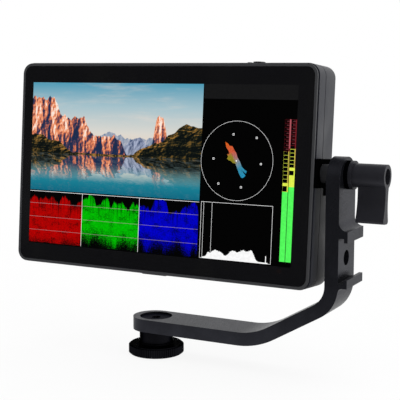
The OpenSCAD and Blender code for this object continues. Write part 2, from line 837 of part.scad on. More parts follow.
module button_board() {
  color("darkgreen") on_pivot() translate([housing_x + power_x, 0, 0]) {
    translate([-button_step - 6, button_y - 4, button_board_z - button_board_t])
      cube([button_step + 12, cover_inner - button_y + 4, button_board_t]);
    for (i = [0, 1]) translate([-i * button_step, button_y, button_board_z])
      cylinder(h = switch_h, d = 3);
  }
}

// A cap through the top wall, with a flange that keeps it in and a stem on its switch.
module button(i) {
  b = button_pts[i];
  flange = b[1] + 2 * cap_lip;
  inner = top_z - wall - fit;
  color("dimgray") on_pivot() translate([housing_x + b[0], button_y, 0]) {
    translate([0, 0, inner - 0.8]) cylinder(h = top_z + b[2] - inner + 0.8, d = b[1]);
    translate([0, 0, inner - 0.8]) cylinder(h = 0.8, d = flange);
    translate([0, 0, button_board_z + switch_h + button_travel + 0.1])
      cylinder(h = inner - 0.8 - button_board_z - switch_h - button_travel, d = button_stem);
  }
}

module power_button() { button(0); }

module function_button() { button(1); }

// Threaded mounting blocks and grip pads

// A block behind the wall with a round nose through it, facing +X.
module mount_block() {
  color("slategray") difference() {
    union() {
      translate([-wall - block_len, -4.2, -pad_w / 2]) cube([block_len, cover_inner + 4.2, pad_w]);
      rod_x(-wall - 0.5, -0.6, block_nose_d);
    }
    rod_x(-block_len - wall - 1, 1, thread_d + 2 * fit);
  }
}

module grip_pad() {
  color("black") difference() {
    translate([-0.6, front_y + 1.5, -pad_w / 2]) cube([0.8, pad_len, pad_w]);
    rod_x(-1, 1, stud_boss_d + 0.6);
  }
}

module right_mount_block() { on_pivot() translate([side_x, 0, 0]) mount_block(); }

module left_mount_block() { on_pivot() translate([left_x, 0, 0]) mirror([1, 0, 0]) mount_block(); }

module bottom_mount_block() {
  on_pivot() translate([housing_x, 0, bottom_z]) rotate([0, 90, 0]) mount_block();
}

module right_pad() { on_pivot() translate([side_x, 0, 0]) grip_pad(); }

module left_pad() { on_pivot() translate([left_x, 0, 0]) mirror([1, 0, 0]) grip_pad(); }

module bottom_pad() {
  on_pivot() translate([housing_x, 0, bottom_z]) rotate([0, 90, 0]) grip_pad();
}

// Battery plate

module at_plate() {
  on_pivot() translate([housing_x, 0, plate_z]) children();
}

// Two hooks on each side hold the battery as it slides up.
module battery_hooks() {
  for (x = [-1, 1], z = [-1, 1])
    translate([x * (plate_w / 2 - 2.4), plate_back - 0.1, z * 14 - 5]) {
      translate([-0.8, 0, 0]) cube([1.6, hook_up + 0.1, 10]);
      translate([x > 0 ? -2.2 : 0, hook_up - 1, 0]) cube([2.2, 1.1, 10]);
    }
}

module battery_plate() {
  color("dimgray") at_plate() difference() {
    union() {
      plate(back_y, plate_back) round_rect(plate_w, plate_h, 2.5);
      battery_hooks();
      translate([-9, plate_back - 0.1, contact_z - 3]) cube([18, 1.6, 6]);
    }
    for (x = [-6, 0, 6])
      translate([x - 0.7, plate_back - 1, contact_z - 4]) cube([1.4, 4, 8]);
    for (p = plate_screw_pts) translate([p[0], 0, p[1]]) {
      rod_y(back_y - 1, plate_back + 1, screw_d + 2 * fit);
      rod_y(plate_back - screw_head_t, plate_back + 1, screw_head_d + 2 * slip);
    }
    translate([0, 0, latch_z]) plate(back_y - 1, plate_back + 1)
      square([latch_w + 2 * slip, latch_h + 2 * slip], center = true);
  }
}

module plate_screws() {
  color("black") at_plate() for (p = plate_screw_pts)
    translate([p[0], 0, p[1]]) difference() {
      union() {
        rod_y(plate_back - screw_head_t, plate_back - 0.1, screw_head_d);
        rod_y(cover_inner - 1, plate_back - screw_head_t + 0.1, screw_d);
      }
      plate(plate_back - 0.8, plate_back + 1) circle(d = 1.8, $fn = 6);
    }
}

module battery_contacts() {
  color("gold") at_plate() for (x = [-6, 0, 6])
    translate([x - 0.4, plate_back - 1, contact_z - 3]) cube([0.8, 2.2, 6]);
}

// A tab that presses in: a flange under the plate, and a tooth with a ramp on its face.
module battery_latch() {
  face = plate_back - 0.1;
  tooth = hook_up - 0.5;
  color("dimgray") at_plate() translate([0, 0, latch_z]) {
    plate(latch_y, back_y - fit)
      square([latch_w + 2 * latch_flange, latch_h + 2 * latch_flange], center = true);
    plate(latch_y, face) square([latch_w, latch_h], center = true);
    bar_x(2 - latch_w / 2, latch_w / 2 - 2)
      polygon([[face - 0.1, -3], [face - 0.1, 2.6], [face + tooth, 2.6], [face + tooth, 1.6]]);
  }
}

// The latch's bowed leaf spring, drawn pressed flat on the floor of the latch's room.
module latch_spring() {
  span = latch_w - 2;
  outer_r = (span * span / 4 + spring_rise * spring_rise) / (2 * spring_rise) + spring_t;
  color("silver") at_plate() translate([0, latch_floor, latch_z - 1.5]) linear_extrude(3)
    intersection() {
      translate([0, spring_rise + spring_t - outer_r]) difference() {
        circle(r = outer_r, $fn = 360);
        circle(r = outer_r - spring_t, $fn = 360);
      }
      translate([-span / 2, 0]) square([span, 1]);
    }
}

swivel_post();
base_bolt();
post_washer();
lock_wheel();
tilt_arm();
pivot_stud();
outer_washer();
clamp_knob();
front_frame();
touch_glass();
indicator_lens();
lcd_panel();
backlight_unit();
heat_spreader();
mid_frame();
rear_cover();
rear_screws();
main_board();
board_screws();
display_ribbon();
video_in_socket();
video_out_socket();
headphone_jack();
usb_port();
dc_jack();
button_board();
power_button();
function_button();
right_mount_block();
left_mount_block();
bottom_mount_block();
right_pad();
left_pad();
bottom_pad();
battery_plate();
plate_screws();
battery_contacts();
battery_latch();
latch_spring();
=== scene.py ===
"""Looks for a camera field monitor on its bent tilt arm."""

import json
import math
import random

import bmesh
import bpy
from bpy.props import FloatProperty, FloatVectorProperty, IntProperty, PointerProperty
from mathutils import Euler, Matrix, Vector


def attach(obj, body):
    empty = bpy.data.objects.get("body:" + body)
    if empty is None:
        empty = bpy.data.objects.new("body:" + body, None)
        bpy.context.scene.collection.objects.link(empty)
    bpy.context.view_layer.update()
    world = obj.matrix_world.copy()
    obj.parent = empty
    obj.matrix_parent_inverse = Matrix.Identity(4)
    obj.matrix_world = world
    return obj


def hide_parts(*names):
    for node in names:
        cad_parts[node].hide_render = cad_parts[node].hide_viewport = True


bl_info = {
    "name": "Field Monitor Looks",
    "version": (1, 0, 0),
    "blender": (4, 5, 0),
    "location": "3D View > Sidebar > Monitor",
    "description": "Dresses a camera field monitor on its bent tilt arm",
    "category": "Object",
}

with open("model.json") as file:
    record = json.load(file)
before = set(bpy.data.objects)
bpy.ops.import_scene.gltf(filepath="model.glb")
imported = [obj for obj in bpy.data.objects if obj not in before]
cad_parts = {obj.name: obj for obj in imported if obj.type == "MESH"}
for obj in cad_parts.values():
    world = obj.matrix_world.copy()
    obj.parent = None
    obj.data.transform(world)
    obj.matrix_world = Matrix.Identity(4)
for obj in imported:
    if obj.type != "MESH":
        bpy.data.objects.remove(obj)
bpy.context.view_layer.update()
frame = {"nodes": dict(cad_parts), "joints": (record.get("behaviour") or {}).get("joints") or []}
nodes = frame["nodes"]
joints = {j["name"]: j for j in frame["joints"]}

MM = 0.001
REST_TILT = math.radians(4.9)
PIVOT_HEIGHT = joints["monitor_tilt"]["pos_m"][2]
PIVOT_FRAME = Matrix.Translation((0, 0, PIVOT_HEIGHT)) @ Matrix.Rotation(-REST_TILT, 4, "X")

# Places about the pivot, in millimetres: the glass face, and the middle of the picture.
GLASS_Y = -10
DISPLAY_X = 5.2
DISPLAY_Z = -1.7
DISPLAY_FRAME = PIVOT_FRAME @ Matrix.Translation(
    (DISPLAY_X * MM, GLASS_Y * MM, DISPLAY_Z * MM))

# The picture's halves, and where its parts meet, in millimetres from its middle.
HALF_WIDTH, HALF_HEIGHT = 66.4, 37.35
SCOPES_X = 23.0
TRACES_Z = -12.4
SHORE_Z = 5.0

# How sharply one patch of the picture gives way to the next, in millimetres.
CRISP = 0.12
SHARP_EDGE = math.radians(35)


# ---------------------------------------------------------------- settings


class StageSettings(bpy.types.PropertyGroup):
    """Camera, lamps and floor."""

    camera_place: FloatVectorProperty(
        name="Camera place", description="Where the camera stands",
        default=(0.2304, -0.3943, 0.13097), subtype="TRANSLATION", unit="LENGTH")
    camera_turn: FloatProperty(
        name="Camera turn", description="Turn of the camera about the upright axis",
        default=math.radians(27.783), subtype="ANGLE", unit="ROTATION")
    camera_dip: FloatProperty(
        name="Camera dip", description="How far the camera looks down",
        default=math.radians(7.535), subtype="ANGLE", unit="ROTATION")
    lens: FloatProperty(
        name="Lens", description="Focal length in millimetres on a 36 mm sensor",
        default=91.9, min=20, max=300)
    room_light: FloatProperty(
        name="Room light", description="Strength of the even light from all round",
        default=0.68, min=0, max=2)
    front_shade: FloatProperty(
        name="Front shade", description="Brightness that polished faces mirror from the front",
        default=0.07, min=0, max=1)
    upper_box: FloatProperty(
        name="Upper softbox", description="Strength of the softbox that polished faces mirror",
        default=0.15, min=0, max=2)
    overhead_power: FloatProperty(
        name="Overhead lamp", description="Power of the softbox overhead",
        default=3.2, min=0, unit="POWER")
    side_power: FloatProperty(
        name="Side lamp", description="Power of the softbox on the right",
        default=2.2, min=0, unit="POWER")
    floor_colour: FloatVectorProperty(
        name="Floor colour", description="Colour of the floor",
        default=(0.9, 0.9, 0.9), subtype="COLOR", min=0, max=1)


class HousingSettings(bpy.types.PropertyGroup):
    """Rim and housing."""

    rim_colour: FloatVectorProperty(
        name="Rim colour", description="Colour of the rim round the glass",
        default=(0.040, 0.041, 0.045), subtype="COLOR", min=0, max=1)
    coat_colour: FloatVectorProperty(
        name="Coat colour", description="Colour of the housing's coat",
        default=(0.012, 0.0135, 0.0215), subtype="COLOR", min=0, max=1)
    edge: FloatProperty(
        name="Edge", description="Width of the softened edges",
        default=0.25 * MM, min=0, subtype="DISTANCE", unit="LENGTH")
    glass_colour: FloatVectorProperty(
        name="Glass colour", description="Colour of the printed border under the glass",
        default=(0.0028, 0.0028, 0.0038), subtype="COLOR", min=0, max=1)


class ArmSettings(bpy.types.PropertyGroup):
    """Arm, knob, post and wheel."""

    arm_colour: FloatVectorProperty(
        name="Arm colour", description="Colour of the arm's anodised metal",
        default=(0.036, 0.037, 0.046), subtype="COLOR", min=0, max=1)
    knob_colour: FloatVectorProperty(
        name="Knob colour", description="Colour of the knob's anodised metal",
        default=(0.027, 0.027, 0.034), subtype="COLOR", min=0, max=1)
    edge: FloatProperty(
        name="Edge", description="Width of the arm's broken edges",
        default=0.3 * MM, min=0, subtype="DISTANCE", unit="LENGTH")


class DisplaySettings(bpy.types.PropertyGroup):
    """The lit picture and its scopes."""

    glow: FloatProperty(
        name="Glow", description="Brightness of the lit picture",
        default=1.0, min=0, max=4)
    line: FloatProperty(
        name="Line", description="Width of the scopes' thin lines",
        default=0.26 * MM, min=0, subtype="DISTANCE", unit="LENGTH")
    rungs: IntProperty(
        name="Rungs", description="Boxes in the red part of each level bar",
        default=8, min=2, max=20)


# ---------------------------------------------------------------- materials


class Wiring:
    """Short ways to add and join the nodes of one shader tree."""

    def __init__(self, tree):
        self.tree = tree

    def add(self, kind, **settings):
        node = self.tree.nodes.new(kind)
        for key, value in settings.items():
            setattr(node, key, value)
        return node

    def put(self, socket, value):
        if isinstance(value, bpy.types.NodeSocket):
            self.tree.links.new(value, socket)
        elif isinstance(value, (tuple, list)) and len(value) == 3 and socket.type == "RGBA":
            socket.default_value = (*value, 1)
        else:
            socket.default_value = value

    def sum(self, kind, *values, clamp=False):
        node = self.add("ShaderNodeMath", operation=kind, use_clamp=clamp)
        for socket, value in zip(node.inputs, values):
            self.put(socket, value)
        return node.outputs[0]

    def vector(self, kind, first, second):
        node = self.add("ShaderNodeVectorMath", operation=kind)
        self.put(node.inputs[0], first)
        node.inputs[1].default_value = second
        return node.outputs["Value" if kind == "DOT_PRODUCT" else "Vector"]

    def split(self, vector):
        node = self.add("ShaderNodeSeparateXYZ")
        self.put(node.inputs[0], vector)
        return node.outputs

    def between(self, value, low, high, to_low=0.0, to_high=1.0, smooth=True):
        node = self.add("ShaderNodeMapRange",
                        interpolation_type="SMOOTHSTEP" if smooth else "LINEAR")
        for key, item in (("Value", value), ("From Min", low), ("From Max", high),
                          ("To Min", to_low), ("To Max", to_high)):
            self.put(node.inputs[key], item)
        return node.outputs["Result"]

    def blend(self, share, first, second, kind="MIX"):
        node = self.add("ShaderNodeMix", data_type="RGBA", blend_type=kind)
        self.put(node.inputs[0], share)
        self.put(node.inputs[6], first)
        self.put(node.inputs[7], second)
        return node.outputs[2]

    def ramp(self, value, stops):
        node = self.add("ShaderNodeValToRGB")
        band = node.color_ramp
        while len(band.elements) < len(stops):
            band.elements.new(0.5)
        for element, (place, colour) in zip(band.elements, stops):
            element.position = place
            element.color = (*colour, 1)
        self.put(node.inputs[0], value)
        return node.outputs["Color"]


class Finish(Wiring):
    """A material with one Principled shader, and the patterns that are wired into it."""

    def __init__(self, name, colour=(0, 0, 0), roughness=0.5, metallic=0.0, shine=0.5):
        self.material = bpy.data.materials.new(name)
        self.material.use_nodes = True
        super().__init__(self.material.node_tree)
        self.shader = self.tree.nodes["Principled BSDF"]
        self.shader.inputs["Base Color"].default_value = (*colour, 1)
        self.shader.inputs["Roughness"].default_value = roughness
        self.shader.inputs["Metallic"].default_value = metallic
        self.shader.inputs["Specular IOR Level"].default_value = shine
        self.place = self.add("ShaderNodeTexCoord").outputs["Object"]

    def feed(self, name, value):
        self.put(self.shader.inputs[name], value)

    def axes(self, unit=MM):
        return self.split(self.vector("MULTIPLY", self.place, (1 / unit,) * 3))

    def monitor_axes(self):
        """Places in millimetres about the pivot, along the leaning monitor's own axes."""
        leaning = self.add("ShaderNodeMapping", vector_type="TEXTURE")
        self.put(leaning.inputs["Vector"], self.place)
        leaning.inputs["Location"].default_value = (0, 0, PIVOT_HEIGHT)
        leaning.inputs["Rotation"].default_value = (-REST_TILT, 0, 0)
        return self.split(self.vector("MULTIPLY", leaning.outputs[0], (1 / MM,) * 3))

    def noise(self, size, detail=2.0, stretch=(1, 1, 1), rough=0.5, shift=None):
        """Cloudy noise whose blotches are about size metres across."""
        node = self.add("ShaderNodeTexNoise")
        place = self.vector("ADD", self.place, shift) if shift else self.place
        self.put(node.inputs["Vector"], self.vector("MULTIPLY", place, stretch))
        node.inputs["Scale"].default_value = 1 / size
        node.inputs["Detail"].default_value = detail
        node.inputs["Roughness"].default_value = rough
        return node.outputs["Fac"]

    def relief(self, size, depth, stretch=(1, 1, 1), rough=0.55):
        """Light and shade of rough ground lit from the upper left, 0.5 where it is flat."""
        here = self.noise(size, 7, stretch, rough)
        uphill = self.noise(size, 7, stretch, rough, (-0.08 * size, 0, 0.05 * size))
        slope = self.sum("SUBTRACT", here, uphill)
        return self.sum("MULTIPLY_ADD", slope, depth, 0.5, clamp=True)

    def line_noise(self, along, size, seed, detail=3.0):
        """Noise along one line, for ridges and traces."""
        node = self.add("ShaderNodeTexNoise", noise_dimensions="1D")
        self.put(node.inputs["W"], self.sum("MULTIPLY_ADD", along, 1 / size, seed))
        node.inputs["Scale"].default_value = 1.0
        node.inputs["Detail"].default_value = detail
        return node.outputs["Fac"]

    def over(self, top, height, under, patch):
        """Lays the patch over the picture wherever the height is below the patch's top."""
        share = self.between(self.sum("SUBTRACT", top, height), -CRISP, CRISP)
        return self.blend(share, under, patch)

    def bump(self, height, depth):
        node = self.add("ShaderNodeBump")
        self.put(node.inputs["Height"], height)
        node.inputs["Distance"].default_value = depth
        self.feed("Normal", node.outputs["Normal"])


def tint(colour, factor):
    return tuple(min(1.0, c * factor) for c in colour)


def grained(name, colour, roughness=0.5, metallic=0.0, shine=0.5, grain=0.25 * MM,
            depth=0.02 * MM, spread=0.18, stretch=(1, 1, 1)):
    """A fine-grained finish: blasted metal, coat, moulded plastic or rubber by its numbers."""
    finish = Finish(name, colour, roughness, metallic, shine)
    clouds = finish.noise(14 * MM, 4)
    grains = finish.noise(grain, 3, stretch, 0.6)
    tone = finish.sum("MULTIPLY_ADD", grains, 0.5, finish.sum("MULTIPLY", clouds, 0.5))
    finish.feed("Base Color", finish.blend(
        finish.between(tone, 0.3, 0.7), tint(colour, 1 - spread), tint(colour, 1 + spread)))
    finish.feed("Roughness", finish.between(
        clouds, 0.3, 0.7, max(0.03, roughness - 0.06), roughness + 0.06))
    finish.bump(grains, depth)
    return finish.material


def anodised(name, colour, roughness=0.36, stretch=(1, 1, 1), rim=0.85, metal=1.0):
    """Dark anodised metal with faint machining marks."""
    finish = Finish(name, colour, roughness, metal)
    finish.shader.inputs["Specular Tint"].default_value = (rim, rim, rim, 1)
    marks = finish.noise(0.5 * MM, 3, stretch, 0.65)
    clouds = finish.noise(9 * MM, 3)
    finish.feed("Base Color", finish.blend(
        finish.between(clouds, 0.3, 0.7), tint(colour, 0.88), tint(colour, 1.12)))
    finish.feed("Roughness", finish.between(marks, 0.2, 0.8, roughness - 0.05, roughness + 0.07))
    finish.bump(marks, 0.012 * MM)
    return finish.material


# ---------------------------------------------------------------- pieces


def dress(names, material):
    """Gives the CAD nodes of these names the material."""
    for name in names:
        mesh_slots = nodes[name].data.materials
        mesh_slots.clear()
        mesh_slots.append(material)


def settle(piece, body, node=None):
    """Makes a finished piece ride on its body and stand for its CAD node."""
    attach(piece, body)
    if node:
        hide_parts(node)
    return piece


def softened(node, piece_name, body, material, width, steps=3):
    """A copy of a CAD node's form with its sharp edges rounded to this width."""
    shape = bmesh.new()
    shape.from_mesh(nodes[node].data)
    bmesh.ops.remove_doubles(shape, verts=shape.verts, dist=0.002 * MM)
    bmesh.ops.dissolve_limit(shape, angle_limit=math.radians(1), verts=shape.verts,
                             edges=shape.edges)
    for face in shape.faces:
        face.smooth = True
        face.material_index = 0
    mesh = bpy.data.meshes.new(piece_name)
    shape.to_mesh(mesh)
    shape.free()
    mesh.materials.append(material)
    mesh.set_sharp_from_angle(angle=SHARP_EDGE)
    piece = bpy.data.objects.new(piece_name, mesh)
    bpy.context.scene.collection.objects.link(piece)
    edge = piece.modifiers.new("Soft edges", "BEVEL")
    edge.limit_method = "ANGLE"
    edge.angle_limit = SHARP_EDGE
    edge.width = width
    edge.segments = steps
    even = piece.modifiers.new("Even shading", "WEIGHTED_NORMAL")
    even.weight = 100
    even.keep_sharp = True
    return settle(piece, body, node)


class Sheet:
    """Flat shapes lying on the glass, in millimetres from the middle of the picture."""

    lift, layer_step = 0.01, 0.008

    def __init__(self, name, materials):
        self.name = name
        self.materials = materials
        self.corners, self.faces, self.kinds = [], [], []

    def patch(self, outline, kind, layer):
        first = len(self.corners)
        depth = -(self.lift + self.layer_step * layer)
        self.corners += [Vector((x, depth, z)) * MM for x, z in outline]
        self.faces.append(range(first, first + len(outline)))
        self.kinds.append(list(self.materials).index(kind))

    def block(self, x0, z0, x1, z1, kind, layer=1):
        self.patch([(x0, z0), (x1, z0), (x1, z1), (x0, z1)], kind, layer)

    def frame(self, x0, z0, x1, z1, line, kind, layer=3):
        for box in ((x0, z0, x1, z0 + line), (x0, z1 - line, x1, z1),
                    (x0, z0, x0 + line, z1), (x1 - line, z0, x1, z1)):
            self.block(*box, kind, layer)

    def ring(self, x, z, radius, line, kind, layer=3, steps=96):
        for i in range(steps):
            a, b = (2 * math.pi * k / steps for k in (i, i + 1))
            inner, outer = radius - line / 2, radius + line / 2
            self.patch([(x + inner * math.cos(a), z + inner * math.sin(a)),
                        (x + outer * math.cos(a), z + outer * math.sin(a)),
                        (x + outer * math.cos(b), z + outer * math.sin(b)),
                        (x + inner * math.cos(b), z + inner * math.sin(b))], kind, layer)

    def lay(self, body):
        mesh = bpy.data.meshes.new(self.name)
        mesh.from_pydata(self.corners, [], [tuple(f) for f in self.faces])
        for material in self.materials.values():
            mesh.materials.append(material)
        mesh.polygons.foreach_set("material_index", self.kinds)
        mesh.update()
        piece = bpy.data.objects.new(self.name, mesh)
        piece.matrix_world = DISPLAY_FRAME
        bpy.context.scene.collection.objects.link(piece)
        return settle(piece, body)


# ---------------------------------------------------------------- lit picture


def lit(name, glow, colour=(0, 0, 0)):
    """A lit part of the picture, seen through the glossy glass."""
    finish = Finish(name, (0.0003, 0.0003, 0.0003), 0.12, 0.0, 0.08)
    finish.shader.inputs["Emission Color"].default_value = (*colour, 1)
    finish.shader.inputs["Emission Strength"].default_value = glow
    return finish


def lit_plain(name, glow, colour):
    """One lit colour with the display's faint unevenness."""
    finish = lit(name, glow, colour)
    haze = finish.noise(1.2 * MM, 2)
    finish.feed("Emission Color", finish.blend(
        finish.between(haze, 0.3, 0.7), tint(colour, 0.9), tint(colour, 1.05)))
    return finish.material


def lake_picture(glow):
    """Evening on a lake: a stepped bluff on the left, a needle rock, dark banks, blue ridges."""
    finish = lit("Lake picture", glow)
    x, _, z = finish.axes()
    depth = finish.sum("SUBTRACT", SHORE_Z, z)
    water = finish.between(depth, -CRISP, CRISP)
    ripple = finish.sum("SUBTRACT", finish.noise(2.6 * MM, 4, (0.3, 1, 2.6), 0.6), 0.5)
    sway = finish.sum("MULTIPLY", finish.sum("MULTIPLY", water, ripple),
                      finish.between(depth, 0, 16, 3, 12))
    height = finish.sum("ADD", finish.sum("ABSOLUTE", depth), finish.sum("ADD", sway, SHORE_Z))
    across = finish.sum("MULTIPLY_ADD", sway, 0.5, x)
    mirrored = finish.add("ShaderNodeCombineXYZ")
    finish.put(mirrored.inputs[0], finish.sum("MULTIPLY", across, MM))
    finish.put(mirrored.inputs[2], finish.sum("MULTIPLY", height, MM))
    finish.place = mirrored.outputs[0]

    picture = evening_sky(finish, height)
    picture = far_ridges(finish, across, height, picture)
    picture = lit_rocks(finish, across, height, picture)
    picture = dark_banks(finish, across, height, picture)

    teal = finish.ramp(finish.between(depth, 0, 17, smooth=False), [
        (0.0, (0.42, 0.48, 0.46)), (0.45, (0.16, 0.38, 0.41)), (0.72, (0.010, 0.21, 0.29)),
        (1.0, (0.004, 0.14, 0.22))])
    clear = finish.between(depth, 3, 13.5, 0.04, 1.05)
    glints = finish.between(finish.noise(1.2 * MM, 3, (0.25, 1, 3)), 0.35, 0.65, -0.10, 0.06)
    lake = finish.blend(finish.sum("ADD", clear, glints, clamp=True), picture, teal)
    finish.feed("Emission Color", finish.blend(water, picture, lake))
    return finish.material


def evening_sky(finish, height):
    """Pale warm light low down, blue above, and long thin clouds."""
    sky = finish.ramp(finish.between(height, 6, 37.4, smooth=False), [
        (0.0, (0.86, 0.66, 0.50)), (0.3, (0.70, 0.68, 0.63)),
        (0.66, (0.38, 0.54, 0.60)), (1.0, (0.07, 0.32, 0.46))])
    streaks = finish.noise(15 * MM, 6, (0.3, 1, 2.4), 0.6)
    return finish.blend(finish.between(streaks, 0.48, 0.74, 0, 0.42), sky, (0.86, 0.72, 0.62))


def far_ridges(finish, across, height, picture):
    """Two hazy blue ridges behind the lake."""
    for top, swing, seed, dark, light in (
            (10.0, 15, 3.1, (0.16, 0.24, 0.36), (0.50, 0.50, 0.56)),
            (7.5, 13, 14.2, (0.010, 0.038, 0.12), (0.40, 0.45, 0.60))):
        ridge = finish.sum("MULTIPLY_ADD", finish.line_noise(across, 15, seed, 7), swing, top - 4)
        rock = finish.blend(finish.relief(5 * MM, 9, (1, 1, 0.7)), dark, light)
        haze = finish.between(height, 5, top + 4, 0.32, 0)
        rock = finish.blend(haze, rock, (0.42, 0.44, 0.52))
        picture = finish.over(ridge, height, picture, rock)
    return picture


def lit_rocks(finish, across, height, picture):
    """A bluff that comes down in three steps, and a needle rock, in low orange light."""
    rough_top = finish.sum("MULTIPLY_ADD", finish.line_noise(across, 3.5, 1.4, 7), 7, -3.5)
    bluff = rough_top
    for start, end, rise in ((-55, -49, 9), (-39, -31, 8), (-21, -12, 9)):
        bluff = finish.sum("ADD", bluff, finish.between(across, start, end, rise, 0))
    bluff = finish.sum("ADD", bluff, 4.5)
    away = finish.sum("ABSOLUTE", finish.sum("SUBTRACT", across, 2.5))
    needle = finish.sum("ADD", finish.between(away, 0.8, 6.5, 23, 2), rough_top)
    crags = finish.relief(11 * MM, 7, (1.3, 1, 0.7), 0.6)
    cracks = finish.relief(3.2 * MM, 4, (1.3, 1, 0.6), 0.6)
    light = finish.sum("ADD", crags, finish.sum("MULTIPLY_ADD", cracks, 0.55, -0.27))
    low = finish.between(height, 6, 17, 0.34, -0.04)
    face = finish.ramp(finish.sum("SUBTRACT", light, low, clamp=True), [
        (0.10, (0.012, 0.026, 0.075)), (0.32, (0.10, 0.055, 0.090)), (0.46, (0.50, 0.13, 0.075)),
        (0.64, (0.84, 0.26, 0.11)), (0.84, (0.95, 0.44, 0.26)), (1.0, (0.96, 0.80, 0.70))])
    return finish.over(finish.sum("MAXIMUM", bluff, needle), height, picture, face)


def dark_banks(finish, across, height, picture):
    """Grassy banks in shade, with a last light on their upper edges."""
    right = finish.between(across, -22, 24, -1.5, 14)
    left = finish.between(across, -66, -33, 7.5, -1.5)
    swell = finish.sum("MULTIPLY_ADD", finish.line_noise(across, 11, 12.3, 6), 6, SHORE_Z - 2.2)
    top = finish.sum("ADD", finish.sum("MAXIMUM", left, right), swell)
    top = finish.sum("MAXIMUM", top, SHORE_Z + 0.5)
    light = finish.relief(6 * MM, 8, (0.7, 1, 1.5), 0.62)
    sunlit = finish.between(finish.sum("SUBTRACT", top, height), 0, 5, 0.06, -0.24)
    grass = finish.ramp(finish.sum("ADD", light, sunlit), [
        (0.22, (0.003, 0.005, 0.005)), (0.48, (0.016, 0.018, 0.009)),
        (0.68, (0.07, 0.048, 0.014)), (0.95, (0.34, 0.17, 0.035))])
    return finish.over(top, height, picture, grass)


def trace_picture(name, glow, colour, seed, hollow):
    """One colour's waveform: dense below a ragged top, with streaks and hollows in it."""
    finish = lit(name, glow)
    x, _, z = finish.axes()
    top = finish.sum("MULTIPLY_ADD", finish.line_noise(x, 7.5, seed, 5), -17, -8.0)
    under = finish.sum("SUBTRACT", top, z)
    specks = finish.sum("SUBTRACT", finish.noise(0.42 * MM, 2, rough=0.8), 0.5)
    band = finish.between(finish.sum("MULTIPLY_ADD", specks, 3.5, under), -0.3, 0.3)
    streak = finish.between(finish.line_noise(x, 1.1, seed + 9, 3), 0.48, 0.62)
    fade = finish.between(under, 0.5, 9, 0.6, 0.05)
    mound = finish.sum("MULTIPLY_ADD", finish.line_noise(x, 8, seed + 4, 5), hollow, -41)
    ground = finish.sum("MULTIPLY_ADD", specks, 26, finish.sum("SUBTRACT", mound, z))
    dark = finish.between(ground, -1.5, 1.5)
    veil = finish.noise(5 * MM, 4, (1, 1, 1.4))
    holes = finish.between(finish.sum("MULTIPLY_ADD", specks, 1.3, veil), 0.55, 0.68, 0, 0.8)
    mottle = finish.between(finish.noise(0.9 * MM, 3, rough=0.7), 0.34, 0.62, 0.70, 1.0)
    share = finish.sum("MULTIPLY", band, mottle)
    for loss in (finish.sum("MULTIPLY", streak, fade), dark, holes):
        share = finish.sum("MULTIPLY", share, finish.sum("SUBTRACT", 1.0, loss))
    finish.feed("Emission Color", finish.blend(share, (0.0004, 0.0004, 0.0004), colour))
    return finish.material


def colour_cloud(glow):
    """The vectorscope's cloud: orange tip, olive flank, rosy middle and teal tail."""
    finish = lit("Colour cloud", glow)
    x, _, z = finish.axes()
    along = finish.sum("MULTIPLY_ADD", z, -0.83, finish.sum("MULTIPLY", x, 0.56))
    across = finish.sum("MULTIPLY_ADD", z, 0.56, finish.sum("MULTIPLY", x, 0.83))
    grain = finish.sum("MULTIPLY_ADD", finish.noise(0.8 * MM, 3), 2.4, -1.2)
    tone = finish.between(finish.sum("ADD", along, grain), 8.6, 25.0, smooth=False)
    colour = finish.ramp(tone, [
        (0.0, (0.80, 0.13, 0.01)), (0.3, (0.66, 0.11, 0.05)), (0.5, (0.42, 0.20, 0.20)),
        (0.62, (0.22, 0.30, 0.36)), (0.78, (0.04, 0.28, 0.42)), (1.0, (0.02, 0.30, 0.52))])
    flank = finish.between(finish.sum("ADD", across, grain), 36.3, 34.8)
    middle = finish.sum("SUBTRACT", finish.between(tone, 0.26, 0.36),
                        finish.between(tone, 0.58, 0.66))
    colour = finish.blend(finish.sum("MULTIPLY", flank, middle), colour, (0.30, 0.25, 0.02))
    specks = finish.between(finish.noise(0.5 * MM, 3), 0.3, 0.6, 0.6, 1.0)
    finish.feed("Emission Color", finish.blend(specks, (0, 0, 0), colour))
    return finish.material


CLOUD = (
    (34.3, 13.2), (35.8, 12.3), (36.2, 11.6), (37.7, 11.4), (38.6, 9.9), (39.6, 8.6), (40.2, 6.9),
    (41.4, 5.2), (42.4, 3.1), (43.6, 1.9), (44.8, 1.2), (44.4, 0.2), (42.4, 1.6), (44.3, -0.7),
    (43.1, -1.7), (42.2, -1.5), (41.2, 0.2), (40.3, 2.2), (39.4, 4.2), (38.2, 4.4), (37.3, 5.2),
    (36.3, 5.4), (35.3, 6.1), (35.9, 6.9), (35.4, 7.9), (36.4, 8.3), (35.9, 9.6), (34.9, 10.7),
)


def histogram_heights(rng, count):
    """Heights of the histogram's columns in millimetres: six humps and a lone one at the end."""
    least, uneven, lone = 0.3, 0.06, 3.0
    humps = ((0.09, 0.025, 1.3), (0.20, 0.10, 3.3), (0.30, 0.045, 1.3), (0.47, 0.09, 3.6),
             (0.64, 0.09, 4.2), (0.76, 0.055, 3.7))
    heights = []
    for i in range(count):
        t = i / (count - 1)
        height = sum(tall * math.exp(-((t - middle) / width) ** 2)
                     for middle, width, tall in humps)
        heights.append(least + height * (1 + rng.uniform(-uneven, uneven)))
    heights[-3] = lone
    return heights


# ---------------------------------------------------------------- operators


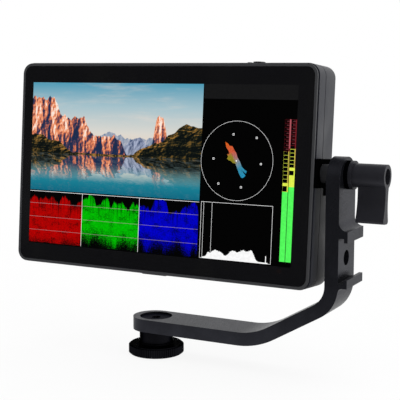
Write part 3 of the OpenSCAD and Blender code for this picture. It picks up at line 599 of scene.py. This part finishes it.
class MONITOR_OT_stage(bpy.types.Operator):
    """Sets up the camera, the lamps, the room and the pale floor"""

    bl_idname = "monitor.stage"
    bl_label = "Stage"

    lamps = (("Overhead softbox", (0.05, 0.10, 0.75), 0.9, "overhead_power", False),
             ("Side softbox", (0.85, -0.25, 0.35), 0.6, "side_power", True))
    lamp_aim = (0.01, 0, 0.08)
    dark_overhead = 1.1
    rear_fade = (-0.92, -0.15)
    box_way = (-0.35, -0.45, 0.82)
    box_fade = (0.80, 0.99)
    floor_half = 3.0
    floor_rear_fade = (-0.19, 0.05)
    white_reach = (0.12, 0.5)
    white_share = (0.89, 1.0)

    def execute(self, context):
        look = context.scene.monitor_stage
        scene = context.scene
        scene.view_settings.view_transform = "Standard"
        self.camera(scene, look)
        self.room(scene, look)
        for name, place, size, power, mirrored in self.lamps:
            self.lamp(scene, name, place, size, getattr(look, power), mirrored)
        self.floor(scene, look)
        return {"FINISHED"}

    def camera(self, scene, look):
        data = bpy.data.cameras.new("Camera")
        data.lens = look.lens
        data.sensor_width = 36
        data.clip_start, data.clip_end = 0.01, 20
        camera = bpy.data.objects.new("Camera", data)
        camera.location = look.camera_place
        camera.rotation_euler = Euler((math.pi / 2 - look.camera_dip, 0, look.camera_turn))
        scene.collection.objects.link(camera)
        scene.camera = camera

    def lamp(self, scene, name, place, size, power, mirrored):
        data = bpy.data.lights.new(name, "AREA")
        data.size = size
        data.energy = power
        lamp = bpy.data.objects.new(name, data)
        lamp.location = place
        aim = Vector(self.lamp_aim) - Vector(place)
        lamp.rotation_euler = aim.to_track_quat("-Z", "Y").to_euler()
        lamp.visible_glossy = mirrored
        scene.collection.objects.link(lamp)

    def room(self, scene, look):
        """White to the camera and even light all round, but dark in front for polished faces."""
        world = bpy.data.worlds.new("Room")
        world.use_nodes = True
        scene.world = world
        room = Wiring(world.node_tree)
        back = room.tree.nodes["Background"]
        back.inputs["Color"].default_value = (1, 1, 1, 1)
        path = room.add("ShaderNodeLightPath").outputs
        way = room.add("ShaderNodeTexCoord").outputs["Generated"]

        _, ahead, up = room.split(way)
        backward = room.sum("SUBTRACT", ahead, room.sum("MULTIPLY", up, self.dark_overhead))
        rear = room.between(backward, *self.rear_fade, look.front_shade, 1.0)
        towards_box = room.vector("DOT_PRODUCT", way, Vector(self.box_way).normalized())
        box = room.between(towards_box, *self.box_fade, 0.0, look.upper_box)
        mirrored = room.sum("MULTIPLY", path["Is Glossy Ray"], room.sum("ADD", rear, box))

        seen = room.sum("MAXIMUM", path["Is Camera Ray"], path["Is Transmission Ray"])
        other = room.sum("SUBTRACT", 1.0, room.sum("MAXIMUM", seen, path["Is Glossy Ray"]))
        even = room.sum("MULTIPLY", other, look.room_light)
        room.put(back.inputs["Strength"],
                 room.sum("ADD", room.sum("ADD", seen, mirrored), even))

    def floor(self, scene, look):
        """A pale floor that keeps the shadow and turns plain white away from the object."""
        half = self.floor_half
        mesh = bpy.data.meshes.new("Floor")
        mesh.from_pydata([(-half, -half, 0), (half, -half, 0), (half, half, 0), (-half, half, 0)],
                         [], [(0, 1, 2, 3)])
        finish = Finish("Pale floor", look.floor_colour, 0.9, 0.0, 0.1)
        speckle = finish.noise(30 * MM, 3)
        finish.feed("Base Color", finish.blend(
            finish.between(speckle, 0.3, 0.7), tint(look.floor_colour, 0.985),
            tint(look.floor_colour, 1.01)))
        x, y, _ = finish.axes(1.0)
        reach = finish.sum("SQRT", finish.sum("MULTIPLY_ADD", x, x, finish.sum("MULTIPLY", y, y)))
        path = finish.add("ShaderNodeLightPath").outputs
        seen, mirrored = path["Is Camera Ray"], path["Is Glossy Ray"]
        white = finish.sum("MULTIPLY", seen, finish.between(
            reach, *self.white_reach, *self.white_share))
        rear = finish.between(y, *self.floor_rear_fade, look.front_shade, 1.0)
        glow = finish.add("ShaderNodeEmission")
        finish.put(glow.inputs["Strength"], finish.sum(
            "ADD", seen, finish.sum("MULTIPLY", mirrored, rear)))
        mixer = finish.add("ShaderNodeMixShader")
        finish.put(mixer.inputs[0], finish.sum("ADD", white, mirrored, clamp=True))
        finish.put(mixer.inputs[1], finish.shader.outputs[0])
        finish.put(mixer.inputs[2], glow.outputs[0])
        finish.put(finish.tree.nodes["Material Output"].inputs["Surface"], mixer.outputs[0])
        mesh.materials.append(finish.material)
        floor = bpy.data.objects.new("Floor", mesh)
        scene.collection.objects.link(floor)


class MONITOR_OT_housing(bpy.types.Operator):
    """Dresses the rim and both housing halves"""

    bl_idname = "monitor.housing"
    bl_label = "Housing"

    def execute(self, context):
        look = context.scene.monitor_housing
        rim = self.rim_metal(look)
        coat = grained("Fine matt coat", tuple(look.coat_colour), 0.5, 0.0, 0.5, 0.2 * MM,
                       0.02 * MM, 0.12)
        softened("front_frame", "front_rim", "monitor", rim, look.edge)
        softened("mid_frame", "front_half", "monitor", coat, look.edge * 0.5, 2)
        softened("rear_cover", "back_half", "monitor", coat, look.edge * 0.5, 2)
        return {"FINISHED"}

    def rim_metal(self, look):
        """Blasted metal, with painted shade: a near-black band is painted in the narrow gap behind
        the rim.
        """
        colour = tuple(look.rim_colour)
        rim = Finish("Blasted rim metal", colour, 0.42, 0.0, 0.45)
        _, y, _ = rim.monitor_axes()
        grains = rim.noise(0.12 * MM, 3, rough=0.6)
        tone = rim.blend(rim.between(grains, 0.3, 0.7), tint(colour, 0.88), tint(colour, 1.12))
        groove_y = GLASS_Y + 1.0
        # Painted shade: a thin band just behind the rim, where the housing meets it, is painted
        # near black and made rough.
        painted_gap_shade = rim.between(y, groove_y - 0.05, groove_y + 0.05)
        rim.feed("Base Color", rim.blend(painted_gap_shade, tone, (0.002, 0.002, 0.0025)))
        rim.feed("Roughness", rim.between(painted_gap_shade, 0, 1, 0.42, 0.9))
        rim.bump(grains, 0.012 * MM)
        return rim.material


class MONITOR_OT_glass(bpy.types.Operator):
    """Dresses the touch glass and the lamp in it"""

    bl_idname = "monitor.glass"
    bl_label = "Glass"

    def execute(self, context):
        look = context.scene.monitor_housing
        glass = Finish("Dark touch glass", tuple(look.glass_colour), 0.1, 0.0, 0.5)
        smears = glass.noise(18 * MM, 4, (1, 1, 0.6))
        glass.feed("Roughness", glass.between(smears, 0.35, 0.7, 0.07, 0.13))
        glass.feed("Base Color", glass.blend(
            glass.between(smears, 0.4, 0.7), tuple(look.glass_colour), (0.004, 0.004, 0.0045)))
        dress(["touch_glass"], glass.material)
        lamp = Finish("Lamp tint", (0.004, 0.003, 0.003), 0.15)
        swirl = lamp.noise(0.6 * MM, 2)
        lamp.feed("Base Color", lamp.blend(swirl, (0.002, 0.002, 0.002), (0.012, 0.006, 0.006)))
        dress(["indicator_lens"], lamp.material)
        return {"FINISHED"}


class MONITOR_OT_display(bpy.types.Operator):
    """Lays the lit picture, its scopes and its level bars on the display"""

    bl_idname = "monitor.display"
    bl_label = "Display"

    def execute(self, context):
        look = context.scene.monitor_display
        glow = look.glow
        line = look.line / MM
        rng = random.Random(7)
        sheet = Sheet("display_picture", {
            "unlit": lit_plain("Unlit display", glow, (0.0004, 0.0004, 0.0004)),
            "lake": lake_picture(glow),
            "red": trace_picture("Red waveform", glow, (0.50, 0.0, 0.0), 2.0, 10),
            "green": trace_picture("Green waveform", glow, (0.0, 0.56, 0.0), 21.0, 18),
            "blue": trace_picture("Blue waveform", glow, (0.0, 0.0, 0.64), 33.0, 17),
            "strip": lit_plain("Header strip", glow, (0.0085, 0.0085, 0.009)),
            "line": lit_plain("Scope lines", glow, (0.98, 0.98, 0.98)),
            "faint": lit_plain("Faint lines", glow, (0.36, 0.26, 0.28)),
            "white": lit_plain("Histogram white", glow, (1.0, 1.0, 1.0)),
            "cloud": colour_cloud(glow),
            "dark_red": lit_plain("Level dark red", glow, (0.17, 0.012, 0.018)),
            "rose": lit_plain("Level rose", glow, (0.44, 0.10, 0.12)),
            "yellow": lit_plain("Level yellow", glow, (0.76, 0.88, 0.08)),
            "amber": lit_plain("Level amber", glow, (0.50, 0.33, 0.07)),
            "green_bar": lit_plain("Level green", glow, (0.09, 0.98, 0.11)),
        })
        strip_low, strip_gap = 31.2, 0.4
        sheet.block(-HALF_WIDTH, -HALF_HEIGHT, HALF_WIDTH, HALF_HEIGHT, "unlit", 0)
        sheet.block(-HALF_WIDTH, TRACES_Z, SCOPES_X, HALF_HEIGHT, "lake")
        self.waveforms(sheet, line)
        sheet.block(SCOPES_X + strip_gap, strip_low, HALF_WIDTH, HALF_HEIGHT, "strip")
        self.vectorscope(sheet, line)
        self.histogram(sheet, line, rng)
        self.levels(sheet, look.rungs)
        sheet.lay("monitor")
        return {"FINISHED"}

    def waveforms(self, sheet, line):
        """The red, green and blue traces side by side, with lines between and across them."""
        left, right, low, high = -HALF_WIDTH, SCOPES_X, -HALF_HEIGHT, TRACES_Z
        splits = (left, -37.2, -6.9, right - 0.2)
        for kind, x0, x1 in zip(("red", "green", "blue"), splits, splits[1:]):
            sheet.block(x0, low + 0.5, x1, high - 0.5, kind)
            for share in (0.25, 0.5, 0.75):
                z = high - share * (high - low)
                sheet.block(x0, z, x1, z + line * 0.42, "faint", 3)
        for x in splits[1:3]:
            sheet.block(x, low + 0.4, x + line * 0.7, high - 0.6, "line", 4)
        sheet.block(left, high - 0.7, right, high - 0.7 + line * 0.7, "line", 4)

    def vectorscope(self, sheet, line):
        """A ring with six small boxes and the colour cloud in it."""
        x, z, radius, box_half, middle_half = 39.8, 5.35, 16.7, 0.42, 0.3
        boxes = ((38.0, 16.4), (48.7, 15.3), (51.1, 4.5), (42.4, -5.6), (31.8, -4.6), (29.0, 5.9))
        sheet.ring(x, z, radius, line * 0.42, "line")
        for a, b in boxes:
            sheet.frame(a - box_half, b - box_half, a + box_half, b + box_half, line * 0.7, "line")
        sheet.patch(CLOUD, "cloud", 2)
        sheet.block(x - middle_half, z - middle_half, x + middle_half, z + middle_half, "line", 4)

    def histogram(self, sheet, line, rng):
        """White columns in a thin frame, with two upright lines at its left."""
        x0, x1, z0, z1 = 24.0, 57.4, -36.8, -12.6
        first, end_gap = 25.2, 1.4
        sheet.frame(x0, z0, x1, z1, line * 0.55, "line")
        for x in (first, 29.2):
            sheet.block(x, z0, x + line * 0.5, z1, "line", 3)
        heights = histogram_heights(rng, 84)
        width = (x1 - first - end_gap) / len(heights)
        for i, height in enumerate(heights):
            x = first + i * width
            sheet.block(x, z0 + line * 0.5, x + width, z0 + line + height, "white", 2)

    def levels(self, sheet, rungs):
        """Two bars: boxes in red and yellow above, then solid yellow and solid green."""
        top, bottom, width = 23.3, -35.2, 2.45
        box, margin, gap, amber_gap = 1.95, 0.04, 0.13, 0.12
        tick, tick_from = 0.12, 0.8
        second_x, second_warm = 63.9, 11.4
        for x, warm, boxed, hold, green in (
                (61.2, 10.2, -2.8, (-4.0, -6.4), -6.4),
                (second_x, second_warm, 3.6, (2.4, 0.4), -4.3)):
            box_x0, box_x1 = x + margin, x + margin + box
            sheet.block(x, warm, x + width, top, "dark_red")
            sheet.block(x, green, x + width, warm, "yellow")
            sheet.block(x, bottom, x + width, green, "green_bar")
            sheet.block(x + box + amber_gap, boxed, x + width, warm, "amber", 2)
            pitch = (top - warm) / rungs
            count = round((top - boxed) / pitch)
            for i in range(count):
                z = top - (i + 1) * (top - boxed) / count
                sheet.block(box_x0, z + gap / 2, box_x1, z + pitch - gap / 2, "unlit", 2)
                if z > warm:
                    middle = z + pitch / 2
                    sheet.block(x + tick_from, middle, box_x1, middle + tick, "rose", 3)
            sheet.block(box_x0, hold[1] + gap, box_x1, hold[0], "unlit", 2)
        sheet.block(second_x - 0.6, second_warm, second_x, top, "rose", 3)
        sheet.block(second_x - 0.25, bottom, second_x, second_warm, "unlit", 3)


class MONITOR_OT_arm(bpy.types.Operator):
    """Dresses the bent arm with its cold shoe"""

    bl_idname = "monitor.arm"
    bl_label = "Arm"

    def execute(self, context):
        look = context.scene.monitor_arm
        metal = anodised("Black anodised arm", tuple(look.arm_colour), 0.3, (1, 0.15, 1),
                         0.62, 0.84)
        softened("tilt_arm", "bent_arm", "arm", metal, look.edge)
        return {"FINISHED"}


class MONITOR_OT_pivot(bpy.types.Operator):
    """Dresses the pivot stud, its washer, the clamp knob and the grip pads"""

    bl_idname = "monitor.pivot"
    bl_label = "Pivot"

    def execute(self, context):
        look = context.scene.monitor_arm
        knob = anodised("Black anodised knob", tuple(look.knob_colour), 0.42, (0.3, 1, 1),
                        0.6, 0.5)
        softened("clamp_knob", "winged_knob", "knob", knob, 0.35 * MM)
        satin = grained("Satin black stud", (0.026, 0.026, 0.030), 0.42, 0.0, 0.5, 0.2 * MM,
                        0.01 * MM, 0.1)
        dress(["pivot_stud"], satin)
        rubber = grained("Black rubber", (0.0008, 0.0008, 0.0011), 0.8, 0.0, 0.03, 0.3 * MM,
                         0.03 * MM, 0.25)
        rubber.node_tree.nodes["Principled BSDF"].inputs["IOR"].default_value = 1.08
        dress(["outer_washer", "post_washer", "right_pad", "left_pad", "bottom_pad"], rubber)
        self.pad_tab(rubber)
        return {"FINISHED"}

    def pad_tab(self, rubber):
        """A thin black rubber sheet lying flat on the housing below the right pad, beside the arm.
        """
        low = Vector((79.9, 1.5, -9.3)) * MM
        high = Vector((80.25, 6.0, -5.7)) * MM
        shape = bmesh.new()
        bmesh.ops.create_cube(shape, size=1)
        for corner in shape.verts:
            corner.co = (low + high) / 2 + Vector(a * b for a, b in zip(corner.co, high - low))
        bmesh.ops.bevel(shape, geom=shape.edges[:], offset=0.1 * MM, segments=2, affect="EDGES")
        mesh = bpy.data.meshes.new("pad_tab")
        shape.to_mesh(mesh)
        shape.free()
        mesh.materials.append(rubber)
        tab = bpy.data.objects.new("pad_tab", mesh)
        tab.matrix_world = PIVOT_FRAME
        bpy.context.scene.collection.objects.link(tab)
        settle(tab, "monitor")


class MONITOR_OT_post(bpy.types.Operator):
    """Dresses the swivel post, its bolt and the knurled lock wheel"""

    bl_idname = "monitor.post"
    bl_label = "Post and lock wheel"

    def execute(self, context):
        look = context.scene.monitor_arm
        turned = anodised("Black turned metal", tint(look.knob_colour, 0.3), 0.34, (1, 1, 0.2),
                          0.25)
        softened("swivel_post", "turned_post", "foot", turned, 0.2 * MM, 2)
        head = anodised("Satin bolt metal", tint(look.arm_colour, 0.9), 0.34, rim=0.35)
        softened("base_bolt", "socket_bolt", "foot", head, 0.1 * MM, 2)
        dress(["lock_wheel"], turned)
        return {"FINISHED"}


class MONITOR_OT_buttons(bpy.types.Operator):
    """Dresses the two buttons on the top"""

    bl_idname = "monitor.buttons"
    bl_label = "Buttons"

    def execute(self, context):
        plastic = grained("Button plastic", (0.012, 0.012, 0.0125), 0.45, 0.0, 0.5, 0.2 * MM,
                          0.01 * MM, 0.15)
        softened("power_button", "power_cap", "power", plastic, 0.3 * MM)
        softened("function_button", "function_cap", "function", plastic,
                 0.25 * MM)
        return {"FINISHED"}


class MONITOR_OT_sockets(bpy.types.Operator):
    """Dresses the sockets in the left wall"""

    bl_idname = "monitor.sockets"
    bl_label = "Sockets"

    def execute(self, context):
        plated = anodised("Plated shell", (0.55, 0.55, 0.56), 0.28, (1, 1, 0.3))
        dress(["video_in_socket", "video_out_socket", "usb_port"], plated)
        plastic = grained("Socket plastic", (0.01, 0.01, 0.01), 0.4, 0.0, 0.5, 0.3 * MM)
        dress(["headphone_jack", "dc_jack"], plastic)
        return {"FINISHED"}


class MONITOR_OT_battery(bpy.types.Operator):
    """Dresses the battery plate, its latch, contacts and all outer screws"""

    bl_idname = "monitor.battery"
    bl_label = "Battery plate"

    def execute(self, context):
        plastic = grained("Moulded black plastic", (0.014, 0.014, 0.0145), 0.55, 0.0, 0.5,
                          0.35 * MM, 0.03 * MM, 0.2)
        softened("battery_plate", "battery_mount", "monitor", plastic,
                 0.2 * MM, 2)
        softened("battery_latch", "battery_tab", "latch", plastic, 0.25 * MM, 2)
        gold = anodised("Gold contacts", (0.75, 0.52, 0.2), 0.25, (1, 1, 0.3))
        dress(["battery_contacts"], gold)
        black_steel = anodised("Black screws", (0.04, 0.04, 0.042), 0.35)
        dress(["rear_screws", "plate_screws"], black_steel)
        return {"FINISHED"}


class MONITOR_OT_inside(bpy.types.Operator):
    """Dresses what sits inside the housing"""

    bl_idname = "monitor.inside"
    bl_label = "Inside"

    def execute(self, context):
        steel = anodised("Plain steel", (0.5, 0.5, 0.51), 0.32, (1, 1, 0.2))
        dress(["right_mount_block", "left_mount_block", "bottom_mount_block", "board_screws",
               "latch_spring"], steel)
        rolled = anodised("Rolled aluminium", (0.6, 0.6, 0.61), 0.4, (0.1, 1, 1))
        dress(["heat_spreader"], rolled)
        mask = grained("Green solder mask", (0.01, 0.09, 0.03), 0.35, 0.0, 0.5, 1.2 * MM,
                       0.03 * MM, 0.3)
        dress(["main_board", "button_board"], mask)
        film = grained("Ribbon film", (0.55, 0.22, 0.03), 0.35, 0.0, 0.5, 0.8 * MM, 0.01 * MM, 0.2)
        dress(["display_ribbon"], film)
        panel = grained("Panel back", (0.02, 0.022, 0.03), 0.3, 0.0, 0.5, 0.3 * MM)
        dress(["lcd_panel"], panel)
        white = grained("White diffuser", (0.8, 0.8, 0.8), 0.6, 0.0, 0.4, 0.6 * MM,
                        0.01 * MM, 0.04)
        dress(["backlight_unit"], white)
        return {"FINISHED"}


class MONITOR_PT_looks(bpy.types.Panel):
    """Lists the pieces of the field monitor"""

    bl_idname = "MONITOR_PT_looks"
    bl_label = "Field monitor"
    bl_space_type = "VIEW_3D"
    bl_region_type = "UI"
    bl_category = "Monitor"

    def draw(self, context):
        for name in SETTINGS:
            group = getattr(context.scene, name)
            box = self.layout.box()
            for key in group.bl_rna.properties.keys():
                if key not in ("rna_type", "name"):
                    box.prop(group, key)
        for operator in OPERATORS:
            self.layout.operator(operator.bl_idname)


SETTINGS = {
    "monitor_stage": StageSettings,
    "monitor_housing": HousingSettings,
    "monitor_arm": ArmSettings,
    "monitor_display": DisplaySettings,
}
OPERATORS = (
    MONITOR_OT_stage, MONITOR_OT_housing, MONITOR_OT_glass, MONITOR_OT_display, MONITOR_OT_arm,
    MONITOR_OT_pivot, MONITOR_OT_post, MONITOR_OT_buttons, MONITOR_OT_sockets,
    MONITOR_OT_battery, MONITOR_OT_inside,
)
CLASSES = (*SETTINGS.values(), *OPERATORS, MONITOR_PT_looks)


def register():
    for item in CLASSES:
        bpy.utils.register_class(item)
    for name, group in SETTINGS.items():
        setattr(bpy.types.Scene, name, PointerProperty(type=group))


def unregister():
    for name in SETTINGS:
        delattr(bpy.types.Scene, name)
    for item in reversed(CLASSES):
        bpy.utils.unregister_class(item)


def main():
    """Builds everything in order."""
    register()
    for operator in OPERATORS:
        group, name = operator.bl_idname.split(".")
        getattr(getattr(bpy.ops, group), name)()


if __name__ == "__main__":
    main()
